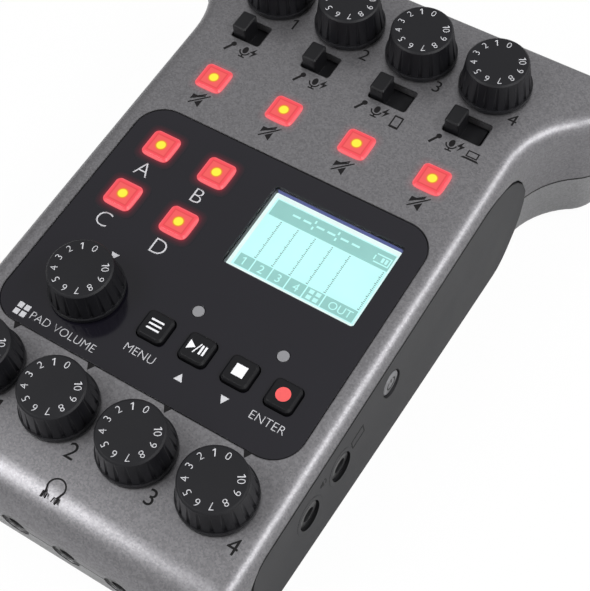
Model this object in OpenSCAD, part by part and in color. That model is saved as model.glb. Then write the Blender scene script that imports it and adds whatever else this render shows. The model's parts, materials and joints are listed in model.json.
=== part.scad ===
// Four-channel podcast recorder: a wedge-shaped desktop case with a wide connector
// head, and a sloping deck of level knobs, lit keys, slide switches and a display.
// Millimetres, +Z up, +Y towards the connector head, origin under the middle of the case.

/* [Body] */
// Length of the deck from the front face to the rear face
body_len = 152.5; // [150:0.5:160]
// Width of the case at its waist
waist_w = 86; // [84:0.5:92]
// Width of the connector head
head_w = 112; // [110:1:120]
// Slope of the deck, in degrees
deck_tilt = 6; // [5:0.5:7]
// Height of the deck above the floor at mid length
deck_h = 30.5; // [30:0.5:33]
// Thickness of the deck and of the underside
wall = 2.2; // [2:0.1:2.4]
// Thickness of the side walls, which carry the grips
side_wall = 3.6; // [3.4:0.1:4]
// Radius of the upper edge of the case
edge_r = 4; // [3:0.25:5]
// Radius of the lower edge of the case
base_r = 4; // [3:0.5:8]
// Radius of the roll from the deck to the front face
front_roll = 9; // [8:0.5:10]
// Radius of the front corners, seen from above
front_corner_r = 9; // [8:0.5:11]
// Distance from the rear face to where the sides start to flare
flare_back = 32; // [30:0.5:34]
// Radius of the hollow of the flare
flare_r = 22; // [20:0.5:23]
// Angle that the flare turns through
flare_angle = 54; // [50:1:56]
// Depth of the joint between the shells below the deck, at the front face
parting_front = 10; // [9.5:0.25:11]
// Slope of the joint between the shells against the deck, in degrees
parting_fall = 4.2; // [3:0.1:4.4]
// Height of the rubber feet
foot_h = 1.2; // [1:0.1:2]

/* [Side grips] */
// Depth of the grips' upper edge below the deck
grip_drop = 2.9; // [2.8:0.1:5]
// Outward slope of the grips, in degrees
grip_draft = 7; // [4:0.5:8]
// Depth of the pockets that the grips lie in
pocket_depth = 1.6; // [1.4:0.1:1.8]
// Distance from the front face to the front end of the grips
grip_front = 11.5; // [11:0.5:14]

/* [Deck layout] */
// Distance between neighbouring channels
channel_pitch = 19.2; // [18.6:0.1:19.6]
// Distance from the front face to the row of volume knobs
volume_row = 23.1; // [22.5:0.1:23.5]
// Distance from the front face to the near edge of the control panel
panel_row = 34.1; // [33.5:0.1:34.5]
// Distance from the rear face to the row of mute keys
mute_row = 44; // [43.5:0.1:45]
// Distance from the rear face to the row of slide switches
switch_row = 27.8; // [27.5:0.1:28.5]
// Distance from the rear face to the row of gain knobs
gain_row = 14.4; // [14:0.1:15]
// Width of the control panel
panel_w = 74.8; // [74:0.2:77]
// Length of the control panel
panel_l = 62.1; // [61:0.1:63]
// Corner radius of the control panel
panel_r = 7; // [5:0.5:9]

/* [Controls] */
// Radius of a knob at its foot
knob_r = 8.1; // [7.2:0.1:8.3]
// Radius of a knob at its top
knob_top_r = 7.1; // [6.4:0.1:7.3]
// Height of a knob's top above the deck
knob_h = 8.75; // [8.5:0.05:10.5]
// Number of grooves around a knob
knob_flutes = 20; // [12:1:24]
// Depth of a knob's grooves at its foot
flute_depth = 0.45; // [0.3:0.05:0.6]
// Radius of the knobs' shafts
shaft_r = 3; // [2.8:0.1:3.2]
// Width of the lit keys
lit_key_w = 7; // [6.5:0.1:7.2]
// Height of a lit key's top above the deck
lit_key_h = 0.6; // [0.5:0.1:1]
// Width of the transport keys
transport_key_w = 6.4; // [6:0.1:6.8]
// Height of a transport key's top above the deck
key_h = 1.2; // [1:0.1:1.5]
// Travel of a key
key_travel = 0.8; // [0.6:0.1:0.9]
// Distance between neighbouring pad keys
pad_pitch = 15; // [14.5:0.1:15.5]
// Distance between neighbouring transport keys
transport_pitch = 10.45; // [10:0.05:10.6]
// Width of the slide switches' levers
lever_w = 3.6; // [3:0.1:3.6]
// Length of the slide switches' levers
lever_l = 5.3; // [5:0.1:5.6]
// Height of a lever above the deck
lever_h = 3.2; // [2.5:0.1:4]
// Travel of a two-way switch
short_travel = 3.4; // [3:0.1:3.6]
// Travel of a three-way switch
long_travel = 5.5; // [5:0.1:5.6]
// Width of the display window
window_w = 32.6; // [32:0.1:33]
// Length of the display window
window_l = 22.2; // [21:0.1:22.4]

/* [Connectors] */
// Distance between neighbouring microphone sockets
xlr_pitch = 24; // [23.5:0.1:24.5]
// Depth of the microphone sockets' axes below the deck
xlr_drop = 21; // [20.8:0.1:21.4]
// Inner radius of a microphone socket
xlr_bore_r = 9.6; // [9.5:0.05:9.7]
// Wall of a microphone socket
xlr_wall = 0.9; // [0.8:0.05:1]
// Depth of a microphone socket
xlr_depth = 16.5; // [15:0.5:17]
// Radius of the hole in a mini jack
jack_bore_r = 1.8; // [1.75:0.05:1.9]
// Radius of the nose of a mini jack
jack_nose_r = 3.1; // [3:0.1:3.3]
// Distance between neighbouring headphone jacks
jack_pitch = 12.8; // [12:0.1:13.5]

/* [Battery bay] */
// Radius of a battery cell
cell_r = 7.25; // [7.1:0.05:7.3]
// Length of a battery cell
cell_l = 50.5; // [49.5:0.1:50.5]
// Distance from the rear face to the bay's middle
bay_y = 44.25; // [44.25:0.25:44.75]
// Thickness of the battery cover
cover_t = 2; // [1.8:0.1:2]

/* [Fits] */
// Gap between fixed pieces that fit in one another
fit_gap = 0.15; // [0.1:0.01:0.2]
// Gap around the grips in their pockets
grip_gap = 0.3; // [0.2:0.05:0.4]
// Gap around moving pieces
run_gap = 0.3; // [0.25:0.01:0.4]
// Radial gap of a shaft in its bush
shaft_gap = 0.08; // [0.05:0.01:0.1]
// Open seam between the two shells
seam_gap = 0.25; // [0.1:0.05:0.3]

/* [Hidden] */
$fn = 48;
front_y = -body_len / 2;
rear_y = body_len / 2;
channels = [for (i = [0 : 3]) (i - 1.5) * channel_pitch];
volume_y = front_y + volume_row;
panel_near = front_y + panel_row;
panel_y = panel_near + panel_l / 2;
mute_y = rear_y - mute_row;
switch_y = rear_y - switch_row;
gain_y = rear_y - gain_row;
bay_mid = rear_y - bay_y;

// Plan of the case: waist, hollow flare, rounded head corner
flare_y0 = rear_y - flare_back;
flare_y1 = flare_y0 + flare_r * sin(flare_angle);
head_corner_r = (head_w - waist_w) / 2 / (1 - cos(flare_angle)) - flare_r;
flare_y2 = flare_y1 + head_corner_r * sin(flare_angle);
rear_r = 2;
toe_r = 5;
front_wall = 5;
rear_wall = 3;

// Places on the control panel, from its near edge and the case's middle line
pad_knob_x = -20.9;
pad_knob_row = 13.8;
pad_knob_y = panel_near + pad_knob_row;
transport_x = -2.8;
transport_row = 13.4;
transport_y = panel_near + transport_row;
pad_x = -28.45;
pad_row = 52.35;
pad_y = panel_near + pad_row;
light_x = [2.55, 23.55];
light_row = 21.25;
light_y = panel_near + light_row;
light_r = 1.3;
window_x = 16.1;
window_row = 45.2;
window_y = panel_near + window_row;
panel_t = 0.7;
panel_sink = 0.15;
panel_floor = panel_sink + panel_t;
window_ledge = 0.3;
window_r = 0.8;
shield_t = 1;
display_t = 3.2;
display_rim = 1.4;
display_gap = 0.05;
display_sink = 0.15;
light_collar = 0.8;
light_l = 2.4;

// Boards, in depths below the deck
board_t = 1.6;
main_board_z = -13.2;
main_board_half = 37.5;
main_board_front = front_y + 5.5;
main_board_wide = front_y + 17;
main_board_rear = mute_y + 5;
input_board_z = -7.4;
input_board_half = 34.6;
input_board_front = switch_y - 3.2;
input_board_rear = rear_y - 6;
pot_w = 9.5;
pot_top_clear = 0.6;
pot_h = 6.5;
pot_floor = 0.8;
bush_wall = 0.5;
bush_r = shaft_r + shaft_gap + bush_wall;
tact_w = 4;
tact_h = 4;
tact_nib_r = 1.2;
tact_nib_h = 1.7;
press_gap = 0.2;
plunger_r = 1.4;
transport_shift = 2.1;
plunger_z = main_board_z + tact_h + tact_nib_h + key_travel + press_gap;
key_flange_t = 0.8;
key_flange = 0.9;
key_r = 1.2;
key_chamfer = 0.45;

// Side pieces
waist_x = waist_w / 2;
pocket_x = waist_x - pocket_depth;
cavity_x = waist_x - side_wall;
grip_top = -grip_drop;
grip_edge_x = waist_x - 0.2;
grip_tip = flare_y0 + 5.3;
grip_tip_z = -15;
grip_nose = 7;
grip_shoulder = 18;
grip_heel = 21;
grip_lift = 3;
grip_round = 6;
grip_widest = waist_x + 2.7;
jack_body = [12, 5.6, 5.2];
jack_z = main_board_z + jack_body[2] / 2;
jack_proud = 0.35;
recess_r = 4.4;
recess_floor = 0.3;
side_jack_rows = [44.1, 31.9];
side_jack_y = [for (row = side_jack_rows) front_y + row];
power_row = 64.9;
power_y = front_y + power_row;
power_z = -9.2;
power_r = 3;
power_chamfer = 0.25;
power_flange_r = 3.8;
power_flange_t = 0.9;
power_proud = 0.45;
usb_row = 38;
usb_y = front_y + usb_row;
usb_size = [9, 3.2];
usb_r = 1.55;
usb_wall = 0.3;
usb_depth = 7.4;
usb_tongue = [6.6, 0.7];
usb_sink = 1;
card_row = 69;
card_y = front_y + card_row;
card_size = [24.4, 2.3];
card_wall = 0.5;
card_depth = 28;

// Microphone sockets
xlr_x = [for (i = [0 : 3]) (i - 1.5) * xlr_pitch];
xlr_out_r = xlr_bore_r + xlr_wall;
xlr_sink = 0.2;
xlr_back = 2;
insert_r = 7.5;
insert_sink = 1.5;
contact_r = 1.35;
contact_circle_r = 5.5;
contact_depth = 11;
latch_w = 6;
latch_t = 1.5;
latch_l = 8;
latch_travel = 1.5;
latch_base = xlr_bore_r + 0.15;

// Screws and posts
screws = [[-33.5, flare_y0 - 2.75], [33.5, flare_y0 - 2.75],
          [-33, front_y + 11.25], [33, front_y + 11.25]];
screw_r = 1.3;
screw_head_r = 2.5;
screw_head_h = 1.8;
screw_seat = 4.5;
boss_rise = 9;
lower_boss_r = 4.2;
upper_boss_r = 3;
screw_bite = 5;
board_posts = [[-22, front_y + 29], [22, front_y + 29], [-33, mute_y - 4], [33, mute_y - 4]];
post_r = 2.2;
input_posts = [for (i = [-1 : 1]) [i * channel_pitch, gain_y]];
foot_r = 4.5;
foot_sink = 0.8;
foot_chamfer = 0.4;
foot_spots = [[-34, front_y + 22], [34, front_y + 22], [-42, rear_y - 12], [42, rear_y - 12]];

// Battery bay, in the frame of the underside
cell_gap = 0.5;
contact_room = 1.95;
cell_play = 0.35;
bay_half = [cell_l / 2 + contact_room, 2 * cell_r + cell_gap / 2 + cell_play];
bay_wall = 1.6;
cover_lip = 0.5;
cover_half = [bay_half[0] + cover_lip - fit_gap, bay_half[1] + cover_lip - fit_gap];
cover_r = 2;
cell_z = foot_h + cover_t + run_gap + cell_r;
cell_nub_r = 2.7;
cell_nub_h = 1.2;
contact_t = 0.4;

// Place of the deck's frame: the case's outline is centred front to rear
function underside(y) = (foot_h - deck_h - y * sin(deck_tilt)) / cos(deck_tilt);
front_most = front_y * cos(deck_tilt) + front_roll * sin(deck_tilt);
rear_most = rear_y * cos(deck_tilt) - (underside(rear_y) + rear_r) * sin(deck_tilt);
deck_dy = -(front_most + rear_most) / 2;

far = 200;
eps = 0.01;

// Frames: the deck lies in its own sloping frame, the underside in the floor's
module on_deck() {
    translate([0, deck_dy, deck_h]) rotate([deck_tilt, 0, 0]) children();
}

module on_floor() {
    rotate([-deck_tilt, 0, 0]) translate([0, -deck_dy, -deck_h]) children();
}

// Flat shapes and plain bodies
module round_rect(w, l, r) {
    square([w - 2 * r, l], center = true);
    square([w, l - 2 * r], center = true);
    for (x = [-1, 1], y = [-1, 1]) translate([x * (w / 2 - r), y * (l / 2 - r)]) circle(r);
}

module plate(w, l, r, z0, z1) {
    translate([0, 0, z0]) linear_extrude(z1 - z0) round_rect(w, l, r);
}

module rod(r, z0, z1) {
    translate([0, 0, z0]) cylinder(r = r, h = z1 - z0);
}

module along_x(x0, x1) {
    translate([x0, 0, 0]) rotate([90, 0, 90]) linear_extrude(x1 - x0) children();
}

module along_y(y0, y1) {
    translate([0, y1, 0]) rotate([90, 0, 0]) linear_extrude(y1 - y0) children();
}

// Outline of the case
function half_w(y) =
    y < front_y + front_corner_r ? waist_x - front_corner_r
        + sqrt(max(0, front_corner_r ^ 2 - (front_y + front_corner_r - y) ^ 2))
    : y < flare_y0 ? waist_x
    : y < flare_y1 ? waist_x + flare_r - sqrt(flare_r ^ 2 - (y - flare_y0) ^ 2)
    : y < flare_y2 ? head_w / 2 - head_corner_r
        + sqrt(head_corner_r ^ 2 - (flare_y2 - y) ^ 2)
    : head_w / 2;

// How far the flare's slant stretches an edge radius across the case
function slant(y) =
    y < flare_y0 || y > flare_y2 ? 1
    : y < flare_y1 ? flare_r / sqrt(flare_r ^ 2 - (y - flare_y0) ^ 2)
    : head_corner_r / sqrt(head_corner_r ^ 2 - (flare_y2 - y) ^ 2);

function roll_top(y) = y > front_y + front_roll ? 0
    : sqrt(max(0, front_roll ^ 2 - (front_y + front_roll - y) ^ 2)) - front_roll;

function toe_lift(y) = y > front_y + toe_r ? 0
    : toe_r - sqrt(max(0, toe_r ^ 2 - (front_y + toe_r - y) ^ 2));

flare_stations = [
    for (a = [0 : flare_angle / 9 : flare_angle - eps]) flare_y0 + flare_r * sin(a),
    for (a = [flare_angle : -flare_angle / 6 : eps]) flare_y2 - head_corner_r * sin(a),
    flare_y2];

// Case stations: [distance along the deck, inset of the whole section]
stations = [
    for (a = [0 : 10 : 90]) [front_y + front_roll * (1 - cos(a)), 0],
    for (y = flare_stations) [y, 0],
    for (a = [0 : 30 : 90]) [rear_y - rear_r * (1 - sin(a)), rear_r * (1 - cos(a))]];

edge_steps = 7;

function half_section(w, top, base, upper, lower, stretch) = [
    for (i = [0 : edge_steps]) let (a = 90 - 90 * i / edge_steps)
        [w - upper * stretch * (1 - cos(a)), top - upper * (1 - sin(a))],
    for (i = [0 : edge_steps]) let (a = 90 * i / edge_steps)
        [w - lower * stretch * (1 - cos(a)), base + lower * (1 - sin(a))]];

function section(y, inset) =
    let (w = half_w(y) - inset,
         top = roll_top(y) - inset,
         base = underside(y) + toe_lift(y) + inset,
         upper = min(edge_r, 0.3 * (top - base)),
         lower = min(base_r, 0.45 * (top - base)),
         right = half_section(w, top, base, upper, lower, slant(y)),
         n = len(right))
    [for (p = right) [p[0], y, p[1]], for (i = [n - 1 : -1 : 0]) [-right[i][0], y, right[i][1]]];

module case_body() {
    rings = [for (s = stations) section(s[0], s[1])];
    n = len(rings[0]);
    last = len(rings) - 1;
    points = [for (ring = rings) for (p = ring) p];
    walls = [for (i = [0 : last - 1], j = [0 : n - 1])
        let (k = (j + 1) % n, a = i * n + j, b = i * n + k, c = a + n, d = b + n)
        each [[a, d, b], [a, c, d]]];
    front = [for (j = [0 : n - 1]) j];
    rear = [for (j = [n - 1 : -1 : 0]) last * n + j];
    polyhedron(points, concat(walls, [front, rear]), convexity = 6);
}

// Everything above the joint between the shells, raised by lift
module above_joint(lift) {
    translate([0, front_y, -parting_front]) rotate([-parting_fall, 0, 0])
        translate([-far / 2, -far / 2, lift]) cube([far, 2 * far, far]);
}

// Hollow of the case: a prism under the deck, cut off above the underside
module case_hollow() {
    inner = [front_y + front_wall, front_y + front_corner_r,
             each [for (y = flare_stations) if (y < rear_y - rear_wall) y], rear_y - rear_wall];
    right = [for (y = inner) [half_w(y) - side_wall * slant(y), y]];
    n = len(right);
    outline = concat(right, [for (i = [n - 1 : -1 : 0]) [-right[i][0], right[i][1]]]);
    intersection() {
        translate([0, 0, -far]) linear_extrude(far - wall) polygon(outline);
        on_floor() translate([-far / 2, -far / 2, foot_h + wall]) cube(far);
    }
}

// Side grips: a long leaf that tapers into the flare
function bend(a, b, c, steps) = [for (i = [0 : steps]) let (t = i / steps)
    (1 - t) ^ 2 * a + 2 * t * (1 - t) * b + t ^ 2 * c];

function leaf(grow) =
    let (front = front_y + grip_front - grow,
         tip = [grip_tip + grow, grip_tip_z],
         top = grip_top + grow,
         nose = front + grip_nose,
         low = function (y) underside(y) + grip_lift - grow,
         mid = (top + low(front)) / 2)
    concat(bend([nose, low(nose)], [front, low(front)], [front, mid], 5),
           bend([front, mid], [front, top], [nose, top], 5),
           bend([tip[0] - grip_shoulder, top], [tip[0] - 2.5, top - 0.4], tip, 6),
           bend(tip, [tip[0] - 1.5, tip[1] - 9], [tip[0] - grip_heel, low(tip[0] - grip_heel)], 6));

module grip_pockets() {
    for (side = [0, 1]) mirror([side, 0, 0]) along_x(pocket_x, far / 2) polygon(leaf(grip_gap));
}

module grip_blank() {
    reach = far / 4;
    slope_x = tan(grip_draft) * reach;
    intersection() {
        along_x(pocket_x, far / 2) polygon(leaf(0));
        along_y(-far, far) polygon([[0, 0], [grip_edge_x, 0], [grip_edge_x, grip_top],
            [grip_edge_x + slope_x, grip_top - reach], [0, grip_top - reach]]);
        on_floor() along_y(-far, far) translate([0, foot_h]) {
            square([grip_widest - grip_round, far]);
            translate([0, grip_round]) square([grip_widest, far]);
            translate([grip_widest - grip_round, grip_round]) circle(grip_round);
        }
    }
}

// Recesses round the side jacks, in the right grip
module jack_recesses() {
    for (y = side_jack_y)
        translate([0, y, jack_z]) rotate([0, 90, 0]) rod(recess_r, waist_x - recess_floor, far / 2);
}

// Openings in the sides, on the right and on the left
module right_openings() {
    translate([0, power_y, power_z]) rotate([0, 90, 0]) rod(power_r + run_gap, 20, far / 2);
    for (y = side_jack_y)
        translate([0, y, jack_z]) rotate([0, 90, 0]) rod(jack_nose_r + fit_gap, 20, far / 2);
}

module left_openings() {
    along_x(-far / 2, -20) {
        translate([usb_y, main_board_z + usb_size[1] / 2])
            round_rect(usb_size[0] + 2 * fit_gap, usb_size[1] + 2 * fit_gap, usb_r + fit_gap);
        translate([card_y, main_board_z - board_t - card_size[1] / 2 - card_wall])
            square([card_size[0], card_size[1]], center = true);
    }
}

module side_grip_right() {
    color("#2e2e30") on_deck() difference() {
        grip_blank();
        right_openings();
        jack_recesses();
    }
}

module side_grip_left() {
    color("#2e2e30") on_deck() difference() {
        mirror([1, 0, 0]) grip_blank();
        left_openings();
    }
}

// Where things stand on the deck
module at_channels(y) {
    for (x = channels) translate([x, y, 0]) children();
}

module at_pads() {
    for (i = [0 : 3]) translate([pad_x + (i % 2) * pad_pitch, pad_y - floor(i / 2) * pad_pitch, 0])
        children();
}

module at_transport() {
    for (i = [0 : 3]) translate([transport_x + i * transport_pitch, transport_y, 0]) children();
}

module at_xlrs() {
    for (x = xlr_x) translate([x, rear_y, -xlr_drop]) rotate([-90, 0, 0]) children();
}

module at_headphones() {
    for (i = [0 : 3]) translate([(i - 1.5) * jack_pitch, front_y, jack_z]) rotate([90, 0, 0]) children();
}

function travel(i) = i < 2 ? short_travel : long_travel;
slot_play = 0.5;
slot_l = lever_l + 2 * slot_play;
slot_r = 0.6;

module lever_slots() {
    for (i = [0 : 3]) translate([channels[i], switch_y, 0])
        plate(travel(i) + lever_w + 2 * run_gap, slot_l, slot_r, -wall - 1, 1);
}

module key_holes(w) {
    plate(w + 2 * run_gap, w + 2 * run_gap, key_r + run_gap, -wall - 1, 1);
}

module panel_holes() {
    at_pads() key_holes(lit_key_w);
    at_transport() key_holes(transport_key_w);
    translate([pad_knob_x, pad_knob_y, 0]) rod(bush_r + fit_gap, -wall - 1, 1);
    for (x = light_x) translate([x, light_y, 0]) rod(light_r + fit_gap, -wall - 1, 1);
}

module deck_holes() {
    at_channels(gain_y) rod(bush_r + fit_gap, -wall - 1, 1);
    at_channels(volume_y) rod(bush_r + fit_gap, -wall - 1, 1);
    at_channels(mute_y) key_holes(lit_key_w);
    lever_slots();
    panel_holes();
    translate([0, panel_y, 0])
        plate(panel_w + 2 * fit_gap, panel_l + 2 * fit_gap, panel_r + fit_gap, -panel_floor, 1);
    window_plate(shield_t + fit_gap - window_ledge, -wall - 1, 1);
}

// A plate in the display window's place, larger than the window by grow all round
module window_plate(grow, z0, z1) {
    translate([window_x, window_y, 0])
        plate(window_w + 2 * grow, window_l + 2 * grow, window_r + grow, z0, z1);
}

module end_openings() {
    at_xlrs() {
        rod(xlr_out_r + fit_gap, -xlr_depth, 1);
        latch_room(latch_l + latch_travel + 1, 1);
    }
    at_headphones() rod(jack_nose_r + fit_gap, -front_wall - 2, 1);
}

// Room for a latch, seen along the socket's axis, above its bore
module latch_room(depth, proud) {
    play = 2 * fit_gap;
    translate([-latch_w / 2 - fit_gap, -latch_base - latch_t - fit_gap, -depth])
        cube([latch_w + play, latch_t + play, depth + proud]);
}

// Screw bosses and board posts
module at_screws() {
    for (s = screws) translate([s[0], s[1], underside(s[1])]) children();
}

module top_shell() {
    color("#8f9093") on_deck() difference() {
        union() {
            difference() {
                intersection() {
                    case_body();
                    above_joint(0);
                }
                case_hollow();
            }
            for (s = screws) translate([s[0], s[1], 0])
                rod(upper_boss_r, underside(s[1]) + boss_rise, 1 - wall);
            for (p = input_posts) translate([p[0], p[1], 0]) rod(post_r, input_board_z, 1 - wall);
        }
        at_screws() rod(screw_r + fit_gap, 0, boss_rise + screw_bite + 1);
        deck_holes();
        end_openings();
        grip_pockets();
        right_openings();
        left_openings();
    }
}

module bay_block(grow, z0, z1) {
    translate([0, bay_mid, 0])
        plate(2 * (bay_half[0] + grow), 2 * (bay_half[1] + grow), cover_r, z0, z1);
}

module bottom_shell() {
    bay_top = cell_z + 0.5 * cell_r;
    color("#9a9b9e") on_deck() difference() {
        union() {
            difference() {
                case_body();
                case_hollow();
                above_joint(-seam_gap);
            }
            at_screws() rod(lower_boss_r, 1, boss_rise);
            for (p = board_posts) translate([p[0], p[1], 0])
                rod(post_r, underside(p[1]) + 1, main_board_z - board_t);
            on_floor() bay_block(bay_wall, foot_h + wall / 2, bay_top);
        }
        at_screws() {
            rod(screw_r + 2 * fit_gap, 0, boss_rise + 1);
            rod(screw_head_r + 2 * fit_gap, -2, screw_seat);
        }
        on_floor() {
            bay_block(0, foot_h - 1, bay_top + 1);
            bay_block(cover_lip, foot_h - 1, foot_h + cover_t + fit_gap);
        }
        at_feet() rod(foot_r + fit_gap, foot_h - 1, foot_h + foot_sink);
        end_openings();
        grip_pockets();
        right_openings();
        left_openings();
    }
}

// Feet and battery bay stand on the floor's own frame
module at_feet() {
    on_floor() for (f = foot_spots) translate([f[0], f[1] * cos(deck_tilt), 0]) children();
}

module feet() {
    color("#1c1c1d") on_deck() at_feet() {
        rod(foot_r, foot_chamfer, foot_h + foot_sink);
        cylinder(r1 = foot_r - foot_chamfer, r2 = foot_r, h = foot_chamfer);
    }
}

module battery_cover() {
    ridge_w = 14;
    color("#8f9093") difference() {
        translate([0, bay_mid, 0])
            plate(2 * cover_half[0], 2 * cover_half[1], cover_r - fit_gap, foot_h, foot_h + cover_t);
        for (i = [-2 : 2]) translate([0, bay_mid - cover_half[1] + 6 + 1.8 * i, foot_h]) rotate([0, 90, 0])
            rod(0.5, -ridge_w / 2, ridge_w / 2);
    }
}

module at_cells() {
    for (side = [-1, 1])
        translate([0, bay_mid + side * (cell_r + cell_gap / 2), cell_z]) rotate([0, 90 * side, 0]) children();
}

module batteries() {
    rim = 0.6;
    color("#3f6b4a") at_cells() rotate_extrude() polygon([[0, -cell_l / 2], [cell_r - rim, -cell_l / 2],
        [cell_r, rim - cell_l / 2], [cell_r, cell_l / 2 - rim], [cell_r - rim, cell_l / 2],
        [cell_nub_r, cell_l / 2], [cell_nub_r, cell_l / 2 + cell_nub_h], [0, cell_l / 2 + cell_nub_h]]);
}

module battery_contacts() {
    clip = 0.1;
    plate_x = bay_half[0] - contact_t - clip;
    color("#b9b6aa") at_cells() for (end = [-1, 1]) {
        rotate([0, 0, 90]) translate([0, 0, end > 0 ? plate_x : -plate_x - contact_t])
            linear_extrude(contact_t) round_rect(2 * cell_r - 3, 2 * cell_r - 5, 1);
        if (end < 0) translate([0, 0, -plate_x])
            cylinder(r1 = 3.6, r2 = 2.4, h = contact_room - contact_t - clip - run_gap);
    }
}

// The control panel with the light shield of its window, the window, and the display behind it
module control_panel() {
    color("#161617") on_deck() difference() {
        union() {
            translate([0, panel_y, 0]) plate(panel_w, panel_l, panel_r, -panel_floor, -panel_sink);
            window_plate(shield_t - window_ledge, -wall, -panel_sink);
        }
        panel_holes();
        window_plate(0, -panel_floor, 1);
        window_plate(-window_ledge, -wall - 1, 1);
    }
}

module display_window() {
    color("#bfe0e0", 0.4) on_deck() window_plate(-fit_gap, -panel_floor, -panel_sink);
}

module display_module() {
    top = -wall - display_gap;
    color("#9fd8d6") on_deck() difference() {
        window_plate(display_rim, top - display_t, top);
        window_plate(-window_ledge, top - display_sink, 1);
    }
}

module status_lights() {
    color("#b9bcc0") on_deck() for (x = light_x) translate([x, light_y, 0]) {
        rod(light_r, -wall - light_l, -panel_sink);
        rod(light_r + light_collar, -wall - fit_gap - light_collar, -wall - fit_gap);
    }
}

// Knobs: a cap on the potentiometer's shaft, with grooves that run out at its rim
flute_r = 0.5;
knob_gap = 0.5;
skirt_h = 0.9;
skirt_r = knob_r + 0.3;
knob_chamfer = 0.35;
knob_bore = 6;

module knob_cap() {
    foot = knob_gap + skirt_h;
    rise = knob_h - foot;
    lean = atan((knob_r - knob_top_r) / rise);
    flute_lean = atan((knob_r - flute_depth - knob_top_r) / rise);
    difference() {
        union() {
            rotate_extrude() polygon([[0, foot - eps], [knob_r, foot - eps],
                [knob_top_r + knob_chamfer * tan(lean), knob_h - knob_chamfer],
                [knob_top_r - knob_chamfer, knob_h], [0, knob_h]]);
            rod(skirt_r, knob_gap, foot);
        }
        for (i = [0 : knob_flutes - 1]) rotate([0, 0, (i + 0.5) * 360 / knob_flutes])
            translate([knob_r + flute_r - flute_depth, 0, foot]) rotate([0, -flute_lean, 0])
                cylinder(r = flute_r, h = 2 * rise);
        rod(shaft_r + shaft_gap, 0, knob_gap + knob_bore);
    }
}

// A knob on its shaft, whose lower end turns in a potentiometer on a board at depth board_z
module knob(board_z) {
    color("#1d1d1e") knob_cap();
    color("#a9a9ab") rod(shaft_r, board_z + pot_floor + run_gap, knob_gap + knob_bore - shaft_gap);
}

module pot(board_z, bush_top) {
    body_top = min(-wall - pot_top_clear, board_z + pot_h);
    difference() {
        union() {
            plate(pot_w, pot_w, 0.4, board_z, body_top);
            rod(bush_r, board_z + pot_floor, bush_top);
        }
        rod(shaft_r + shaft_gap, board_z + pot_floor, 1);
    }
}

module gain_knob(i) {
    on_deck() translate([channels[i], gain_y, 0]) knob(input_board_z);
}

module volume_knob(i) {
    on_deck() translate([channels[i], volume_y, 0]) knob(main_board_z);
}

module pad_knob() {
    on_deck() translate([pad_knob_x, pad_knob_y, 0]) knob(main_board_z);
}

bush_sink = 0.3;

module gain_pots() {
    color("#5b5e63") on_deck() at_channels(gain_y) pot(input_board_z, -bush_sink);
}

module volume_pots() {
    color("#5b5e63") on_deck() at_channels(volume_y) pot(main_board_z, -bush_sink);
}

module pad_pot() {
    color("#5b5e63") on_deck() translate([pad_knob_x, pad_knob_y, 0]) pot(main_board_z, -bush_sink);
}

// Keys: a chamfered cap, a flange held under the deck and a plunger over its switch,
// which stands shift behind the key's middle
module key_cap(w, h, shift) {
    top_w = w - 2 * key_chamfer;
    shoulder = h - key_chamfer;
    plate(w, w, key_r, -wall - run_gap - eps, shoulder);
    hull() {
        plate(w, w, key_r, shoulder - eps, shoulder);
        plate(top_w, top_w, key_r - key_chamfer / 2, h - eps, h);
    }
    plate(w + 2 * key_flange, w + 2 * key_flange, key_r, -wall - run_gap - key_flange_t, -wall - run_gap);
    translate([0, shift, 0]) rod(plunger_r, plunger_z, -wall - run_gap - key_flange_t / 2);
}

module mute_key(i) {
    color("#e0262e") on_deck() translate([channels[i], mute_y, 0]) key_cap(lit_key_w, lit_key_h, 0);
}

module pad_key(i) {
    color("#e0262e") on_deck()
        translate([pad_x + (i % 2) * pad_pitch, pad_y - floor(i / 2) * pad_pitch, 0])
            key_cap(lit_key_w, lit_key_h, 0);
}

module transport_key(i) {
    color("#242426") on_deck()
        translate([transport_x + i * transport_pitch, transport_y, 0])
            key_cap(transport_key_w, key_h, transport_shift);
}

module key_switches() {
    module tact() {
        plate(tact_w, tact_w, 0.3, main_board_z, main_board_z + tact_h);
        rod(tact_nib_r, main_board_z + tact_h - eps, main_board_z + tact_h + tact_nib_h);
    }
    side_top = power_z + tact_w / 2;
    side_w = 3;
    key_end = cavity_x - run_gap - power_flange_t - key_travel - press_gap;
    color("#3a3a3d") on_deck() {
        at_channels(mute_y) tact();
        at_pads() tact();
        at_transport() translate([0, transport_shift, 0]) tact();
        translate([key_end - tact_nib_h - side_w / 2, power_y, 0])
            plate(side_w, tact_w, 0.3, main_board_z, side_top);
        translate([0, power_y, power_z]) rotate([0, 90, 0])
            rod(tact_nib_r, key_end - tact_nib_h - eps, key_end);
    }
}

module key_lamps() {
    color("#f4e9b0") on_deck() {
        at_channels(mute_y) key_lamp();
        at_pads() key_lamp();
    }
}

module key_lamp() {
    translate([0, tact_w / 2 + 1, 0]) plate(1.6, 0.9, 0.1, main_board_z, main_board_z + 0.7);
}

// Slide switches: a chamfered lever on a dust plate that closes the slot from below
plate_t = 0.6;
plate_lap = 0.3;
lever_body_gap = 0.35;
lever_r = 0.4;
lever_chamfer = 0.3;
lever_body = [10.4, 6.4];

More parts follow.
